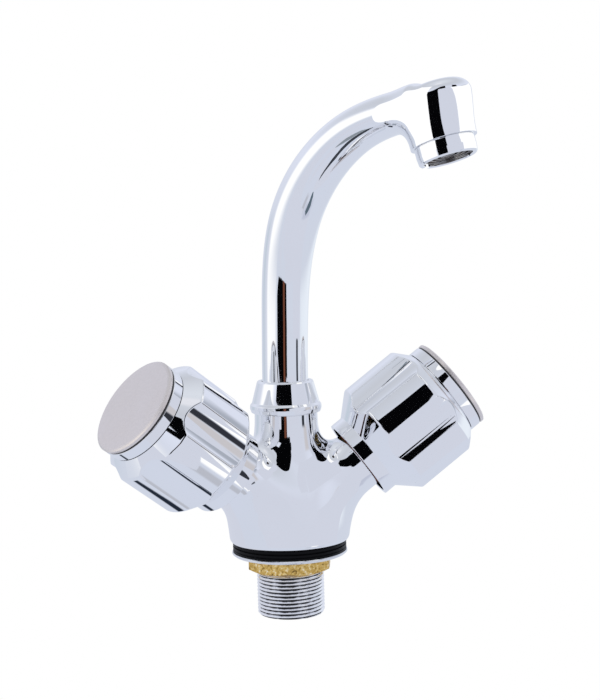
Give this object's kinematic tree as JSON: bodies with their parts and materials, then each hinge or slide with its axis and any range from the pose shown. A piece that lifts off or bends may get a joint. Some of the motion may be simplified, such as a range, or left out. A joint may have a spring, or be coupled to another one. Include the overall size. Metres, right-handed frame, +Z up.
{
  "type": "basin mixer tap",
  "caption": "Deck-mounted basin mixer tap with two angled fluted handles, a swivelling swan-neck spout with aerator, and a threaded shank with gasket, washers and back nut.",
  "frame": {"origin": "on the body axis, in the plane where the base gasket meets the deck", "axes": "+Z up along the body axis and away from the deck, -Y to the user's side, +X to the cold handle on the user's right"},
  "size_m": [0.1644, 0.1006, 0.215],
  "materials": {
    "chromed_body": "cast brass, polished and bright chrome plated",
    "chromed_spout": "brass tube and head, polished and bright chrome plated",
    "chromed_brass": "turned brass, bright chrome plated",
    "chromed_handle": "bright chrome plated",
    "satin_disc": "satin brushed, bevelled bright edge",
    "plated_shank": "machined thread, thinly plated",
    "raw_brass": "unplated cast and turned brass",
    "zinc_steel": "bright zinc plated",
    "spring_steel": "dark oiled spring steel",
    "steel_mesh": "fine woven mesh",
    "black_rubber": "moulded, slightly shiny",
    "seal_rubber": "smooth nitrile",
    "red_fibre": "pressed fibre",
    "white_nylon": "moulded",
    "aerator_plastic": "moulded, dark"
  },
  "bodies": {
    "tap_body": {"body_casting": "chromed_body", "threaded_shank": "plated_shank", "base_gasket": "black_rubber", "spout_nut": "chromed_brass", "spout_slide_washer": "white_nylon", "hot_bonnet": "raw_brass", "hot_bonnet_gasket": "red_fibre", "cold_bonnet": "raw_brass", "cold_bonnet_gasket": "red_fibre"},
    "spout_group": {"spout": "chromed_spout", "spout_retaining_ring": "white_nylon", "spout_orings": "seal_rubber", "aerator_housing": "chromed_brass", "aerator_insert": "aerator_plastic", "aerator_screen": "steel_mesh", "aerator_seal": "seal_rubber"},
    "hot_handle": {"hot_handle_shell": "chromed_handle", "hot_handle_insert": "white_nylon", "hot_handle_screw": "zinc_steel", "hot_index_cap": "chromed_handle", "hot_index_disc": "satin_disc", "hot_spindle": "raw_brass", "hot_spindle_orings": "seal_rubber", "hot_spindle_circlip": "spring_steel"},
    "hot_valve": {"hot_valve_carrier": "raw_brass", "hot_seat_washer": "seal_rubber", "hot_washer_screw": "raw_brass"},
    "cold_handle": {"cold_handle_shell": "chromed_handle", "cold_handle_insert": "white_nylon", "cold_handle_screw": "zinc_steel", "cold_index_cap": "chromed_handle", "cold_index_disc": "satin_disc", "cold_spindle": "raw_brass", "cold_spindle_orings": "seal_rubber", "cold_spindle_circlip": "spring_steel"},
    "cold_valve": {"cold_valve_carrier": "raw_brass", "cold_seat_washer": "seal_rubber", "cold_washer_screw": "raw_brass"},
    "deck_clamp": {"deck_rubber_washer": "black_rubber", "clamp_washer": "zinc_steel"},
    "clamp_nut": {"back_nut": "raw_brass"}
  },
  "joints": [
    {"name": "spout_swivel", "type": "hinge", "parent": "tap_body", "child": "spout_group", "pos_m": [0, 0, 0.06], "axis": [0, 0, 1], "continuous": true},
    {"name": "hot_handle_turn", "type": "hinge", "parent": "tap_body", "child": "hot_handle", "pos_m": [0, 0, 0.0124], "axis": [-0.7828, -0.1764, 0.5968], "range_deg": [0, 810]},
    {"name": "hot_valve_lift", "type": "slide", "parent": "tap_body", "child": "hot_valve", "axis": [-0.7828, -0.1764, 0.5968], "range_m": [0, 0.00394]},
    {"name": "cold_handle_turn", "type": "hinge", "parent": "tap_body", "child": "cold_handle", "pos_m": [0, 0, 0.0124], "axis": [0.7828, -0.1764, 0.5968], "range_deg": [0, 810]},
    {"name": "cold_valve_lift", "type": "slide", "parent": "tap_body", "child": "cold_valve", "axis": [0.7828, -0.1764, 0.5968], "range_m": [0, 0.00394]},
    {"name": "clamp_slide", "type": "slide", "parent": "tap_body", "child": "deck_clamp", "axis": [0, 0, -1], "range_m": [0, 0.012]},
    {"name": "nut_turn", "type": "hinge", "parent": "deck_clamp", "child": "clamp_nut", "pos_m": [0, 0, 0], "axis": [0, 0, -1], "range_deg": [0, 2880]}
  ],
  "couplings": [
    {"joint": "hot_valve_lift", "follows": "hot_handle_turn", "m_per_rad": 0.00027852},
    {"joint": "cold_valve_lift", "follows": "cold_handle_turn", "m_per_rad": 0.00027852},
    {"joint": "nut_turn", "follows": "clamp_slide", "rad_per_m": 4188.8}
  ]
}
